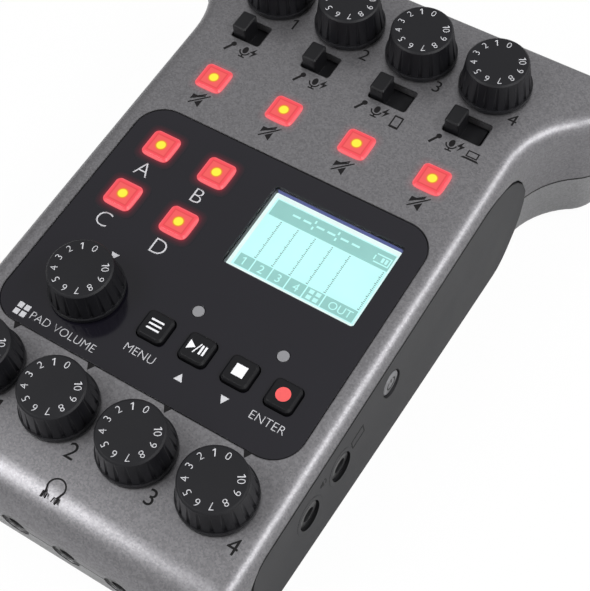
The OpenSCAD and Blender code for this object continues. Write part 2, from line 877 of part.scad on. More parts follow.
module input_lever(i) {
    plate_w = min(lever_w + 2 * travel(i) + 1, channel_pitch - travel(i) - 2 * run_gap);
    plate_top = -wall - run_gap;
    start = -travel(i) / 2;
    shoulder = lever_h - lever_chamfer;
    color("#1b1b1c") on_deck() translate([channels[i] + start, switch_y, 0]) {
        plate(lever_w, lever_l, lever_r, plate_top - plate_t, shoulder);
        hull() {
            plate(lever_w, lever_l, lever_r, shoulder - eps, shoulder);
            plate(lever_w - 2 * lever_chamfer, lever_l - 2 * lever_chamfer, lever_r, lever_h - eps, lever_h);
        }
        plate(plate_w, slot_l + 2 * plate_lap, 0.4, plate_top - plate_t, plate_top);
    }
}

module lever_bodies() {
    body_top = -wall - run_gap - plate_t - lever_body_gap;
    color("#4a4a4d") on_deck() for (x = channels) translate([x, switch_y, 0])
        plate(lever_body[0], lever_body[1], 0.4, input_board_z, body_top);
}

// Microphone sockets: a shell with a latch slot, an insert with three contacts, a latch
module xlr_shells() {
    color("#202022") on_deck() at_xlrs() difference() {
        rod(xlr_out_r, -xlr_depth, -xlr_sink);
        rod(xlr_bore_r, xlr_back - xlr_depth, 1);
        latch_room(latch_l + latch_travel + 1, 1);
    }
}

module xlr_inserts() {
    color("#2a2a2c") on_deck() at_xlrs() difference() {
        rod(insert_r, xlr_back - xlr_depth, -insert_sink);
        for (a = [-60, 60, 180]) rotate([0, 0, a - 90]) translate([contact_circle_r, 0, 0])
            rod(contact_r, -insert_sink - contact_depth, 1);
    }
}

module xlr_latch(i) {
    color("#8d8e90") on_deck() translate([xlr_x[i], rear_y, -xlr_drop]) rotate([-90, 0, 0])
        translate([-latch_w / 2, -latch_base - latch_t, -latch_l - xlr_sink])
            cube([latch_w, latch_t, latch_l]);
}

// Mini jacks: a body on the board and a nose through the wall
module mini_jack(body_start, nose_end) {
    bore_depth = 14;
    difference() {
        union() {
            translate([0, 0, body_start - jack_body[0]]) linear_extrude(jack_body[0])
                square([jack_body[1], jack_body[2]], center = true);
            rod(jack_nose_r, body_start - eps, nose_end);
        }
        rod(jack_bore_r, nose_end - bore_depth, nose_end + 1);
    }
}

module headphone_jacks() {
    color("#2a2a2c") on_deck() at_headphones() mini_jack(-front_wall - fit_gap, -jack_proud);
}

module side_jacks() {
    color("#2a2a2c") on_deck() for (y = side_jack_y) translate([0, y, jack_z]) rotate([0, 90, 0])
        rotate([0, 0, 90]) mini_jack(cavity_x - fit_gap, waist_x + jack_proud);
}

module power_key() {
    color("#4a4b4e") on_deck() translate([0, power_y, power_z]) rotate([0, 90, 0]) {
        rod(power_r, cavity_x - run_gap - power_flange_t / 2, waist_x + power_proud - power_chamfer);
        translate([0, 0, waist_x + power_proud - power_chamfer - eps])
            cylinder(r1 = power_r, r2 = power_r - power_chamfer, h = power_chamfer + eps);
        rod(power_flange_r, cavity_x - run_gap - power_flange_t, cavity_x - run_gap);
    }
}

module usb_socket() {
    face_x = waist_x - usb_sink;
    color("#b4b5b8") on_deck() translate([0, usb_y, main_board_z + usb_size[1] / 2]) mirror([1, 0, 0])
        difference() {
            along_x(face_x - usb_depth, face_x) round_rect(usb_size[0], usb_size[1], usb_r);
            along_x(face_x - usb_depth + 1, far) difference() {
                round_rect(usb_size[0] - 2 * usb_wall, usb_size[1] - 2 * usb_wall, usb_r - usb_wall);
                square(usb_tongue, center = true);
            }
            along_x(face_x - usb_sink, far)
                round_rect(usb_size[0] - 2 * usb_wall, usb_size[1] - 2 * usb_wall, usb_r - usb_wall);
        }
}

module card_socket() {
    face_x = cavity_x - fit_gap;
    width = card_size[0] + 2 * card_wall;
    height = card_size[1] + 2 * card_wall;
    color("#b4b5b8") on_deck() translate([0, card_y, main_board_z - board_t - height / 2]) mirror([1, 0, 0])
        difference() {
            along_x(face_x - card_depth, face_x) square([width, height], center = true);
            along_x(face_x - card_depth + 1, far) square([card_size[0], card_size[1]], center = true);
        }
}

// Circuit boards
module main_board() {
    color("#1f5a3a") on_deck() translate([0, 0, main_board_z - board_t]) linear_extrude(board_t) {
        narrow = main_board_half - 11;
        translate([-main_board_half, main_board_wide])
            square([2 * main_board_half, main_board_rear - main_board_wide]);
        translate([-narrow, main_board_front]) square([2 * narrow, main_board_wide - main_board_front + 1]);
    }
}

module input_board() {
    color("#1f5a3a") on_deck() translate([0, 0, input_board_z - board_t]) linear_extrude(board_t)
        translate([-input_board_half, input_board_front])
            square([2 * input_board_half, input_board_rear - input_board_front]);
}

module case_screws() {
    color("#6d6e70") on_deck() at_screws() {
        rod(screw_head_r, screw_seat - screw_head_h, screw_seat);
        rod(screw_r, screw_seat - eps, boss_rise + screw_bite);
    }
}

top_shell();
bottom_shell();
control_panel();
side_grip_left();
side_grip_right();
display_window();
display_module();
for (i = [0 : 3]) {
    gain_knob(i);
    volume_knob(i);
    mute_key(i);
    pad_key(i);
    transport_key(i);
    input_lever(i);
    xlr_latch(i);
}
pad_knob();
status_lights();
xlr_shells();
xlr_inserts();
headphone_jacks();
side_jacks();
power_key();
usb_socket();
card_socket();
battery_cover();
batteries();
battery_contacts();
main_board();
input_board();
gain_pots();
volume_pots();
pad_pot();
lever_bodies();
key_switches();
key_lamps();
case_screws();
feet();
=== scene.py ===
import json
import math
import bmesh
import bpy
from mathutils import Matrix, Vector

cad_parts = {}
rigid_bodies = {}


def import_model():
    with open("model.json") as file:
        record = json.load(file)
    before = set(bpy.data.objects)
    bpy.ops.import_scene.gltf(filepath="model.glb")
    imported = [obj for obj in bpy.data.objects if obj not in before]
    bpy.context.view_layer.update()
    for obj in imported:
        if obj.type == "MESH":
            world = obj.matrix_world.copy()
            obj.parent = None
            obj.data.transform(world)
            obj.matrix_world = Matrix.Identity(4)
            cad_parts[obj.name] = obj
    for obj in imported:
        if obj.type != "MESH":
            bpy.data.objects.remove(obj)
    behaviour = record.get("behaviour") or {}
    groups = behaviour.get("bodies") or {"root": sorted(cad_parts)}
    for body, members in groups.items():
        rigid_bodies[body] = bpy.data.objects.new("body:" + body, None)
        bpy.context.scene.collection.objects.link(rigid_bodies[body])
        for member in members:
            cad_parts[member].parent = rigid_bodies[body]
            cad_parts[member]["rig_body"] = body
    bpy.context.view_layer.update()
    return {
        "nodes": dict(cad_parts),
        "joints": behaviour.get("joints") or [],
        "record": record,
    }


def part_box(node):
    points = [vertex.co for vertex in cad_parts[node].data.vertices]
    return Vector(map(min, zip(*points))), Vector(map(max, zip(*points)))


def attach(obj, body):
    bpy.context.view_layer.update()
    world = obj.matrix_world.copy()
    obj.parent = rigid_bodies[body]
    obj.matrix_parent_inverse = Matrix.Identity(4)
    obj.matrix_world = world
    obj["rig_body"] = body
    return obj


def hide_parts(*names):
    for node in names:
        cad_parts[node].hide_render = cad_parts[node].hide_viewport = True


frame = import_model()
mm = 0.001
print("frame loaded,", len(frame["nodes"]), "nodes")

# The deck's own frame in millimetres: x right, y towards the sockets, z off the deck
deckRows = {"volume": -53.15, "transport": -28.75}
knobTop = 8.75
keyTop = 1.2
litTop = 0.6
hinges = {j["child"]: j for j in frame["joints"] if j["type"] == "hinge"}
deckTilt = math.atan2(hinges["pad_knob"]["axis"][1], -hinges["pad_knob"]["axis"][2])
deckTurn = Matrix.Rotation(deckTilt, 4, "X")
innerPair = [Vector(hinges[f"volume_knob_{i}"]["pos_m"]) for i in (2, 3)]
deckOrigin = sum(innerPair, Vector()) / 2 - deckTurn @ Vector((0, deckRows["volume"] * mm, 0))
deck = Matrix.Translation(deckOrigin) @ deckTurn @ Matrix.Scale(mm, 4)


def onDeck(node):
    low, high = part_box(node)
    return deck.inverted() @ ((low + high) / 2)


def spot(x, y, z=0.0, turn=0.0):
    return Matrix.Translation((x, y, z)) @ Matrix.Rotation(math.radians(turn), 4, "Z")


# Shader groups that several finishes share
def newGroup(name, inputs, outputs):
    group = bpy.data.node_groups.new(name, "ShaderNodeTree")
    for label, value in inputs.items():
        socket = group.interface.new_socket(label, in_out="INPUT", socket_type="NodeSocketFloat")
        socket.default_value = value
    for label in outputs:
        group.interface.new_socket(label, in_out="OUTPUT", socket_type="NodeSocketFloat")
    return group, group.nodes.new("NodeGroupInput"), group.nodes.new("NodeGroupOutput")


def remap(tree, source, low, high):
    node = tree.nodes.new("ShaderNodeMapRange")
    tree.links.new(source, node.inputs["Value"])
    for label, value in (("To Min", low), ("To Max", high)):
        if isinstance(value, (int, float)):
            node.inputs[label].default_value = value
        else:
            tree.links.new(value, node.inputs[label])
    return node.outputs["Result"]


flakeLook = {"scale": 2800, "dark": 0.8, "bright": 1.25, "cloud": 1400, "cloudDetail": 3, "cloudShare": 0.15}


def paintFlakes():
    defaults = {"Scale": flakeLook["scale"], "Dark": flakeLook["dark"], "Bright": flakeLook["bright"]}
    group, start, end = newGroup("paintFlakes", defaults, ["Tone", "Height"])
    place = group.nodes.new("ShaderNodeTexCoord")
    cells = group.nodes.new("ShaderNodeTexVoronoi")
    cloud = group.nodes.new("ShaderNodeTexNoise")
    group.links.new(start.outputs["Scale"], cells.inputs["Scale"])
    cloud.inputs["Scale"].default_value = flakeLook["cloud"]
    cloud.inputs["Detail"].default_value = flakeLook["cloudDetail"]
    blend = group.nodes.new("ShaderNodeMix")
    blend.inputs["Factor"].default_value = flakeLook["cloudShare"]
    split = group.nodes.new("ShaderNodeSeparateColor")
    for node in (cells, cloud):
        group.links.new(place.outputs["Object"], node.inputs["Vector"])
    group.links.new(cells.outputs["Color"], split.inputs["Color"])
    group.links.new(split.outputs["Red"], blend.inputs["A"])
    group.links.new(cloud.outputs["Fac"], blend.inputs["B"])
    tone = remap(group, blend.outputs["Result"], start.outputs["Dark"], start.outputs["Bright"])
    group.links.new(tone, end.inputs["Tone"])
    group.links.new(split.outputs["Green"], end.inputs["Height"])
    return group


grainLook = {"scale": 3000, "rough": (0.4, 0.5), "detail": 4, "wide": 90, "wideDetail": 5,
             "tone": (0.9, 1.1)}


def mouldGrain():
    low, high = grainLook["rough"]
    defaults = {"Scale": grainLook["scale"], "Low": low, "High": high}
    group, start, end = newGroup("mouldGrain", defaults, ["Height", "Rough", "Tone"])
    place = group.nodes.new("ShaderNodeTexCoord")
    fine = group.nodes.new("ShaderNodeTexNoise")
    wide = group.nodes.new("ShaderNodeTexNoise")
    fine.inputs["Detail"].default_value = grainLook["detail"]
    wide.inputs["Scale"].default_value = grainLook["wide"]
    wide.inputs["Detail"].default_value = grainLook["wideDetail"]
    group.links.new(start.outputs["Scale"], fine.inputs["Scale"])
    for node in (fine, wide):
        group.links.new(place.outputs["Object"], node.inputs["Vector"])
    group.links.new(fine.outputs["Fac"], end.inputs["Height"])
    rough = remap(group, wide.outputs["Fac"], start.outputs["Low"], start.outputs["High"])
    group.links.new(rough, end.inputs["Rough"])
    group.links.new(remap(group, wide.outputs["Fac"], *grainLook["tone"]), end.inputs["Tone"])
    return group


seamLook = {"radius": 0.55, "samples": 8, "sharp": 0.88, "flat": 0.99, "dark": 0.05}


# Painted shade: darker along sharp edges and seams, where the rounded normal leaves the face's own, standing
# in for the shade in the gaps
def seamLines():
    group, start, end = newGroup("seamLines", {"Radius": seamLook["radius"] * mm}, ["Tone"])
    rounding = group.nodes.new("ShaderNodeBevel")
    rounding.samples = seamLook["samples"]
    group.links.new(start.outputs["Radius"], rounding.inputs["Radius"])
    plain = group.nodes.new("ShaderNodeNewGeometry")
    agree = group.nodes.new("ShaderNodeVectorMath")
    agree.operation = "DOT_PRODUCT"
    group.links.new(rounding.outputs["Normal"], agree.inputs[0])
    group.links.new(plain.outputs["Normal"], agree.inputs[1])
    clean = group.nodes.new("ShaderNodeMapRange")
    for label, key in (("From Min", "sharp"), ("From Max", "flat"), ("To Min", "dark")):
        clean.inputs[label].default_value = seamLook[key]
    group.links.new(agree.outputs["Value"], clean.inputs["Value"])
    group.links.new(clean.outputs["Result"], end.inputs["Tone"])
    return group


flakeGroup, grainGroup, seamGroup = paintFlakes(), mouldGrain(), seamLines()


def newMaterial(name):
    material = bpy.data.materials.new(name)
    material.use_nodes = True
    tree = material.node_tree
    tree.nodes.clear()
    shader = tree.nodes.new("ShaderNodeBsdfPrincipled")
    tree.links.new(shader.outputs["BSDF"], tree.nodes.new("ShaderNodeOutputMaterial").inputs["Surface"])
    return material, tree, shader


def useGroup(tree, group, values):
    node = tree.nodes.new("ShaderNodeGroup")
    node.node_tree = group
    for label, value in values.items():
        node.inputs[label].default_value = value
    return node


def toned(tree, tone):
    mix = tree.nodes.new("ShaderNodeMix")
    mix.data_type = "RGBA"
    mix.blend_type = "MULTIPLY"
    mix.inputs["Factor"].default_value = 1
    tree.links.new(tone, mix.inputs["B"])
    return mix


def tinted(tree, colour, tone):
    mix = toned(tree, tone)
    mix.inputs["A"].default_value = (*colour, 1)
    return mix.outputs["Result"]


def bumped(tree, shader, height, depth, edge=0.0):
    bump = tree.nodes.new("ShaderNodeBump")
    bump.inputs["Strength"].default_value = 1
    bump.inputs["Distance"].default_value = depth * mm
    tree.links.new(height, bump.inputs["Height"])
    if edge:
        rounding = tree.nodes.new("ShaderNodeBevel")
        rounding.inputs["Radius"].default_value = edge * mm
        tree.links.new(rounding.outputs["Normal"], bump.inputs["Normal"])
    tree.links.new(bump.outputs["Normal"], shader.inputs["Normal"])


plainLook = {"grain": grainLook["scale"], "metal": 0, "shine": 0.5, "edge": 0}


def grained(tree, scale, rough):
    low, high = rough
    return useGroup(tree, grainGroup, {"Scale": scale, "Low": low, "High": high})


def moulded(name, finish):
    material, tree, shader = newMaterial(name)
    look = {**plainLook, **finish}
    grain = grained(tree, look["grain"], look["rough"])
    tone, height = grain.outputs["Tone"], grain.outputs["Height"]
    if "flakes" in look:
        dark, bright = look["flakes"]
        flakes = useGroup(tree, flakeGroup, {"Dark": dark, "Bright": bright})
        tone, height = flakes.outputs["Tone"], flakes.outputs["Height"]
    colour = tinted(tree, look["colour"], tone)
    # Painted shade: the base colour is darkened along sharp edges and seams
    if "seam" in look:
        seam = useGroup(tree, seamGroup, {"Radius": look["seam"] * mm})
        darkened = toned(tree, seam.outputs["Tone"])
        tree.links.new(colour, darkened.inputs["A"])
        colour = darkened.outputs["Result"]
    tree.links.new(colour, shader.inputs["Base Color"])
    tree.links.new(grain.outputs["Rough"], shader.inputs["Roughness"])
    shader.inputs["Metallic"].default_value = look["metal"]
    shader.inputs["Specular IOR Level"].default_value = look["shine"]
    bumped(tree, shader, height, look["depth"], look["edge"])
    # Painted light: an emitted colour, weighted by the glow attribute, stands in for light spilled onto the
    # surface
    if "glow" in look:
        fade = tree.nodes.new("ShaderNodeAttribute")
        fade.attribute_name = "glow"
        tree.links.new(tinted(tree, look["glow"], fade.outputs["Fac"]), shader.inputs["Emission Color"])
        shader.inputs["Emission Strength"].default_value = 1
    return material


# A finish's seam value is the radius of its painted shade along sharp edges and seams
finishes = {
    "case_silver": {"colour": (0.168, 0.165, 0.173), "metal": 0.8, "rough": (0.34, 0.42),
                    "flakes": (0.80, 1.22), "depth": 0.005, "edge": 0.22, "seam": 0.55},
    "case_pale": {"colour": (0.225, 0.225, 0.23), "metal": 0.8, "rough": (0.36, 0.44),
                  "flakes": (0.85, 1.18), "depth": 0.005, "edge": 0.22, "seam": 0.55},
    "panel_black": {"colour": (0.005, 0.0045, 0.0075), "rough": (0.10, 0.15), "grain": 5000,
                    "depth": 0.0006, "edge": 0.12, "shine": 0.38},
    "grip_dark": {"colour": (0.018, 0.018, 0.020), "rough": (0.46, 0.56), "grain": 2600, "depth": 0.012,
                  "edge": 0.25, "shine": 0.28, "seam": 0.6},
    "knob_black": {"colour": (0.006, 0.006, 0.0075), "rough": (0.42, 0.52), "grain": 4200, "depth": 0.005,
                   "edge": 0.18, "shine": 0.2},
    "key_black": {"colour": (0.005, 0.005, 0.006), "rough": (0.36, 0.44), "grain": 4000, "depth": 0.003,
                  "edge": 0.22, "shine": 0.16},
    "lever_black": {"colour": (0.005, 0.005, 0.006), "rough": (0.40, 0.50), "grain": 3600, "depth": 0.006,
                    "edge": 0.15, "shine": 0.2},
    "light_pipe": {"colour": (0.18, 0.18, 0.19), "rough": (0.25, 0.32), "depth": 0.001, "edge": 0.2},
    "socket_black": {"colour": (0.012, 0.012, 0.013), "rough": (0.40, 0.52), "depth": 0.006, "edge": 0.2},
    "latch_metal": {"colour": (0.46, 0.46, 0.47), "metal": 1, "rough": (0.24, 0.34), "depth": 0.002,
                    "edge": 0.2},
    "jack_black": {"colour": (0.014, 0.014, 0.015), "rough": (0.30, 0.40), "depth": 0.003, "edge": 0.2},
    "power_grey": {"colour": (0.20, 0.20, 0.21), "metal": 0.7, "rough": (0.34, 0.42), "depth": 0.004,
                   "edge": 0.3},
    "port_metal": {"colour": (0.52, 0.52, 0.53), "metal": 1, "rough": (0.22, 0.34), "depth": 0.002,
                   "edge": 0.1},
    "cell_wrap": {"colour": (0.05, 0.16, 0.08), "rough": (0.24, 0.34), "depth": 0.002},
    "contact_metal": {"colour": (0.56, 0.54, 0.50), "metal": 1, "rough": (0.26, 0.36), "depth": 0.002},
    "board_green": {"colour": (0.02, 0.13, 0.06), "rough": (0.30, 0.42), "depth": 0.004},
    "pot_metal": {"colour": (0.40, 0.41, 0.42), "metal": 1, "rough": (0.30, 0.42), "depth": 0.003},
    "switch_black": {"colour": (0.025, 0.025, 0.027), "rough": (0.40, 0.50), "depth": 0.004},
    "lamp_cream": {"colour": (0.80, 0.74, 0.42), "rough": (0.30, 0.40), "depth": 0.002},
    "screw_steel": {"colour": (0.20, 0.20, 0.21), "metal": 1, "rough": (0.32, 0.44), "depth": 0.003,
                    "edge": 0.15},
    "foot_rubber": {"colour": (0.014, 0.014, 0.014), "rough": (0.62, 0.74), "depth": 0.015},
    "ink_white": {"colour": (0.45, 0.45, 0.47), "rough": (0.45, 0.55), "depth": 0.002, "shine": 0.2},
    "ink_bright": {"colour": (0.62, 0.62, 0.64), "rough": (0.45, 0.55), "depth": 0.002},
    "ink_black": {"colour": (0.008, 0.0075, 0.008), "rough": (0.45, 0.55), "depth": 0.002, "shine": 0.1},
    "ink_red": {"colour": (0.60, 0.07, 0.07), "rough": (0.40, 0.50), "depth": 0.002},
}
# Thin pieces take a surface's finish without its rounded edges and its painted seam shade; the glow ones add
# painted red light
thinFinishes = {"panel_glow": ("panel_black", {"glow": (0.17, 0.004, 0.014)}),
                "deck_glow": ("case_silver", {"glow": (0.14, 0.0, 0.008)}),
                "grip_plain": ("grip_dark", {})}
paint = {name: moulded(name, look) for name, look in finishes.items()}
for name, (under, extra) in thinFinishes.items():
    look = {key: value for key, value in finishes[under].items() if key not in ("edge", "seam")}
    paint[name] = moulded(name, {**look, **extra})


# Lit things: the display and the keys, which glow from a lamp under their middle; the blue gasket wall glows
# too, a painted glow of the display's light
litFace = {"grain": 2500, "rough": (0.3, 0.38), "unlit": 0.03, "shine": 0.1, "depth": 0.001}
litColours = {"display_lit": (0.80, 0.95, 0.92), "lcd_field": (0.57, 0.98, 0.95),
              "lcd_ink": (0.31, 0.60, 0.56), "lcd_dots": (0.15, 0.30, 0.30),
              "lcd_marks": (0.55, 0.95, 0.91), "gasket_blue": (0.075, 0.085, 0.25)}


def glowing(name, colour):
    material, tree, shader = newMaterial(name)
    grain = grained(tree, litFace["grain"], litFace["rough"])
    shader.inputs["Base Color"].default_value = (*[litFace["unlit"] * c for c in colour], 1)
    shader.inputs["Specular IOR Level"].default_value = litFace["shine"]
    tree.links.new(tinted(tree, colour, grain.outputs["Tone"]), shader.inputs["Emission Color"])
    tree.links.new(grain.outputs["Rough"], shader.inputs["Roughness"])
    shader.inputs["Emission Strength"].default_value = 1
    bumped(tree, shader, grain.outputs["Height"], litFace["depth"])
    return material


# Colours by the distance from the key's middle, in millimetres: round for the lamp, square for the key; in
# the square, a darker red line rings the top face and the lighter outer rim at the chamfer is a painted
# highlight
litKey = {"lamp": [(0.0, (0.86, 0.88, 0.04), 1), (0.95, (0.86, 0.88, 0.04), 1),
                   (1.2, (0.68, 0.24, 0.01), 1), (1.6, (0.72, 0.12, 0.05), 0)],
          "square": [(0.0, (0.80, 0.11, 0.10)), (2.1, (0.78, 0.10, 0.10)), (2.35, (0.62, 0.055, 0.06)),
                     (2.6, (0.80, 0.07, 0.09)), (3.0, (0.82, 0.08, 0.10)), (3.35, (0.88, 0.14, 0.16))],
          "reach": 4.0, "unlit": (0.08, 0.005, 0.007), "shine": 0.3, "grain": 2500, "rough": (0.26, 0.34),
          "depth": 0.002, "edge": 0.3}


def ramped(tree, distance, stops):
    node = tree.nodes.new("ShaderNodeValToRGB")
    scaled = tree.nodes.new("ShaderNodeMapRange")
    scaled.inputs["From Max"].default_value = litKey["reach"]
    tree.links.new(distance, scaled.inputs["Value"])
    tree.links.new(scaled.outputs["Result"], node.inputs["Fac"])
    marks = node.color_ramp.elements
    while len(marks) < len(stops):
        marks.new(0.5)
    for mark, (radius, colour, *share) in zip(marks, stops):
        mark.position = radius / litKey["reach"]
        mark.color = (*colour, *(share or [1]))
    return node


def litKeyPaint(name, centre):
    material, tree, shader = newMaterial(name)
    place = tree.nodes.new("ShaderNodeTexCoord")
    local = tree.nodes.new("ShaderNodeMapping")
    local.vector_type = "TEXTURE"
    local.inputs["Location"].default_value = centre
    local.inputs["Rotation"].default_value = (deckTilt, 0, 0)
    local.inputs["Scale"].default_value = (mm, mm, mm)
    tree.links.new(place.outputs["Object"], local.inputs["Vector"])
    flat = tree.nodes.new("ShaderNodeVectorMath")
    flat.operation = "MULTIPLY"
    flat.inputs[1].default_value = (1, 1, 0)
    away = tree.nodes.new("ShaderNodeVectorMath")
    away.operation = "LENGTH"
    size = tree.nodes.new("ShaderNodeVectorMath")
    size.operation = "ABSOLUTE"
    split = tree.nodes.new("ShaderNodeSeparateXYZ")
    square = tree.nodes.new("ShaderNodeMath")
    square.operation = "MAXIMUM"
    tree.links.new(local.outputs["Vector"], flat.inputs[0])
    tree.links.new(flat.outputs["Vector"], away.inputs[0])
    tree.links.new(flat.outputs["Vector"], size.inputs[0])
    tree.links.new(size.outputs["Vector"], split.inputs["Vector"])
    tree.links.new(split.outputs["X"], square.inputs[0])
    tree.links.new(split.outputs["Y"], square.inputs[1])
    lamp = ramped(tree, away.outputs["Value"], litKey["lamp"])
    body = ramped(tree, square.outputs["Value"], litKey["square"])
    blend = tree.nodes.new("ShaderNodeMix")
    blend.data_type = "RGBA"
    tree.links.new(lamp.outputs["Alpha"], blend.inputs["Factor"])
    tree.links.new(body.outputs["Color"], blend.inputs["A"])
    tree.links.new(lamp.outputs["Color"], blend.inputs["B"])
    tree.links.new(blend.outputs["Result"], shader.inputs["Emission Color"])
    shader.inputs["Emission Strength"].default_value = 1
    shader.inputs["Base Color"].default_value = (*litKey["unlit"], 1)
    shader.inputs["Specular IOR Level"].default_value = litKey["shine"]
    grain = grained(tree, litKey["grain"], litKey["rough"])
    tree.links.new(grain.outputs["Rough"], shader.inputs["Roughness"])
    bumped(tree, shader, grain.outputs["Height"], litKey["depth"], litKey["edge"])
    return material


windowLook = {"colour": (0.97, 0.99, 1.0), "ior": 1.04, "grain": 900, "rough": (0.0, 0.02)}


def clearWindow():
    material, tree, shader = newMaterial("window_clear")
    grain = grained(tree, windowLook["grain"], windowLook["rough"])
    shader.inputs["Base Color"].default_value = (*windowLook["colour"], 1)
    shader.inputs["Transmission Weight"].default_value = 1
    shader.inputs["IOR"].default_value = windowLook["ior"]
    tree.links.new(grain.outputs["Rough"], shader.inputs["Roughness"])
    return material


paint["window_clear"] = clearWindow()
for name, colour in litColours.items():
    paint[name] = glowing(name, colour)
muteKeys = [f"mute_key_{i}" for i in range(1, 5)]
padKeys = [f"pad_key_{c}" for c in "abcd"]
slotOf = {part["node"]: part["material_slot"] for part in frame["record"]["subparts"]}
print("finishes made,", len(paint))


# CAD nodes keep their shape; the moulded ones get a merged copy, so that the lofts shade smoothly
def slotPaint(node):
    if node in muteKeys + padKeys:
        place = onDeck(node)
        return litKeyPaint(f"lit_{node}", deck @ Vector((place.x, place.y, litTop)))
    return paint[slotOf[node]]


def dress(obj, material):
    obj.data.materials.clear()
    obj.data.materials.append(material)


for node, obj in frame["nodes"].items():
    dress(obj, slotPaint(node))


def placed(name, shape, material, body):
    mesh = bpy.data.meshes.new(name)
    shape.to_mesh(mesh)
    shape.free()
    obj = bpy.data.objects.new(name, mesh)
    bpy.context.scene.collection.objects.link(obj)
    dress(obj, material)
    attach(obj, body)
    return obj


skinMerge = {"join": 2e-6, "flat": 0.2}


def smoothSkin(node, name, bend):
    source = frame["nodes"][node]
    shape = bmesh.new()
    shape.from_mesh(source.data)
    bmesh.ops.remove_doubles(shape, verts=shape.verts, dist=skinMerge["join"])
    flat = math.radians(skinMerge["flat"])
    bmesh.ops.dissolve_limit(shape, angle_limit=flat, verts=shape.verts, edges=shape.edges)
    for face in shape.faces:
        face.smooth = True
    for edge in shape.edges:
        edge.smooth = len(edge.link_faces) == 2 and edge.calc_face_angle() < math.radians(bend)
    obj = placed(name, shape, source.data.materials[0], source["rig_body"])
    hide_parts(node)
    if "custom_normal" in obj.data.attributes:
        obj.data.attributes.remove(obj.data.attributes["custom_normal"])


skins = {"top_shell": ("topCase", 28), "bottom_shell": ("lowerCase", 28),
         "side_grip_left": ("leftGrip", 24), "side_grip_right": ("rightGrip", 24)}
for node, (name, bend) in skins.items():
    smoothSkin(node, name, bend)
print("moulded skins made,", len(skins))


# Printing: flat shapes in the deck's millimetres, given a little thickness and laid on their surface
inkDepth = {"sunk": 0.02, "proud": 0.03, "join": 1e-4}
lettering = {"curve": 4, "oneShift": -0.36, "restShift": 0.26}
oneFlag = [(-0.02, -0.5), (0.12, -0.5), (0.12, 0.5), (0.0, 0.5), (-0.26, 0.34), (-0.26, 0.21), (-0.02, 0.33)]


def polygon(shape, place, points):
    shape.faces.new([shape.verts.new(place @ Vector((x, y, 0))) for x, y in points])


def bar(shape, place, start, end, width):
    a, b = Vector(start), Vector(end)
    side = (b - a).normalized().orthogonal() * width / 2
    polygon(shape, place, [a - side, b - side, b + side, a + side])


def box(shape, place, x0, y0, x1, y1):
    polygon(shape, place, [(x0, y0), (x1, y0), (x1, y1), (x0, y1)])


def ellipse(shape, place, x, y, across, along, steps=20):
    stretched = place @ spot(x, y) @ Matrix.Diagonal((across, along, 1, 1))
    bmesh.ops.create_circle(shape, cap_ends=True, segments=steps, radius=1, matrix=stretched)


def disc(shape, place, x, y, radius, steps=28):
    ellipse(shape, place, x, y, radius, radius, steps)


def arcBand(shape, place, x, y, radius, width, start, sweep, steps=20):
    centre = place @ Vector((x, y, 0))
    aim = Vector((math.cos(math.radians(start)), math.sin(math.radians(start)), 0))
    reaches = [radius - width / 2, radius + width / 2]
    ends = [shape.verts.new(place @ (Vector((x, y, 0)) + aim * reach)) for reach in reaches]
    rim = shape.edges.new(ends)
    bmesh.ops.spin(shape, geom=[*ends, rim], cent=centre, axis=place.to_3x3() @ Vector((0, 0, 1)),
                   angle=math.radians(sweep), steps=steps, use_merge=sweep == 360)


def words(shape, place, text, height, thin=0.0):
    curve = bpy.data.curves.new("words", "FONT")
    curve.body = text
    curve.resolution_u = lettering["curve"]
    curve.offset = -thin
    holder = bpy.data.objects.new("words", curve)
    bpy.context.scene.collection.objects.link(holder)
    mesh = bpy.data.meshes.new_from_object(holder.evaluated_get(bpy.context.evaluated_depsgraph_get()))
    low = [min(v.co[i] for v in mesh.vertices) for i in (0, 1)]
    high = [max(v.co[i] for v in mesh.vertices) for i in (0, 1)]
    middle = Vector(((low[0] + high[0]) / 2, (low[1] + high[1]) / 2, 0))
    mesh.transform(place @ Matrix.Scale(height / (high[1] - low[1]), 4) @ Matrix.Translation(-middle))
    shape.from_mesh(mesh)
    bpy.data.objects.remove(holder)
    bpy.data.curves.remove(curve)
    bpy.data.meshes.remove(mesh)


def numeral(shape, place, text, height, thin=0.0):
    if not text.startswith("1"):
        words(shape, place, text, height, thin)
        return
    shift = lettering["oneShift"] * height if len(text) > 1 else 0
    polygon(shape, place @ spot(shift, 0), [(x * height, y * height) for x, y in oneFlag])
    if len(text) > 1:
        words(shape, place @ spot(lettering["restShift"] * height, 0), text[1:], height, thin)


def printed(name, shape, body, material, out=Vector((0, 0, 1))):
    bmesh.ops.remove_doubles(shape, verts=shape.verts, dist=inkDepth["join"])
    bmesh.ops.translate(shape, verts=shape.verts, vec=-inkDepth["sunk"] * out)
    raised = bmesh.ops.extrude_face_region(shape, geom=shape.faces[:])["geom"]
    lifted = [v for v in raised if isinstance(v, bmesh.types.BMVert)]
    bmesh.ops.translate(shape, verts=lifted, vec=(inkDepth["sunk"] + inkDepth["proud"]) * out)
    bmesh.ops.transform(shape, matrix=deck, verts=shape.verts)
    bmesh.ops.recalc_face_normals(shape, faces=shape.faces)
    return placed(name, shape, material, body)


# Numbers round each knob's top, 0 towards its pointer
dial = {"radius": 5.4, "height": 1.6, "step": 30, "last": 10, "thin": 0.012}
for node in hinges:
    shape = bmesh.new()
    centre = deck.inverted() @ Vector(hinges[node]["pos_m"])
    for number in range(dial["last"] + 1):
        turned = spot(centre.x, centre.y, knobTop, number * dial["step"])
        numeral(shape, turned @ spot(0, dial["radius"]), str(number), dial["height"], dial["thin"])
    printed(f"numbers_{node}", shape, node, paint["ink_white"])
print("dial numbers made,", len(hinges))

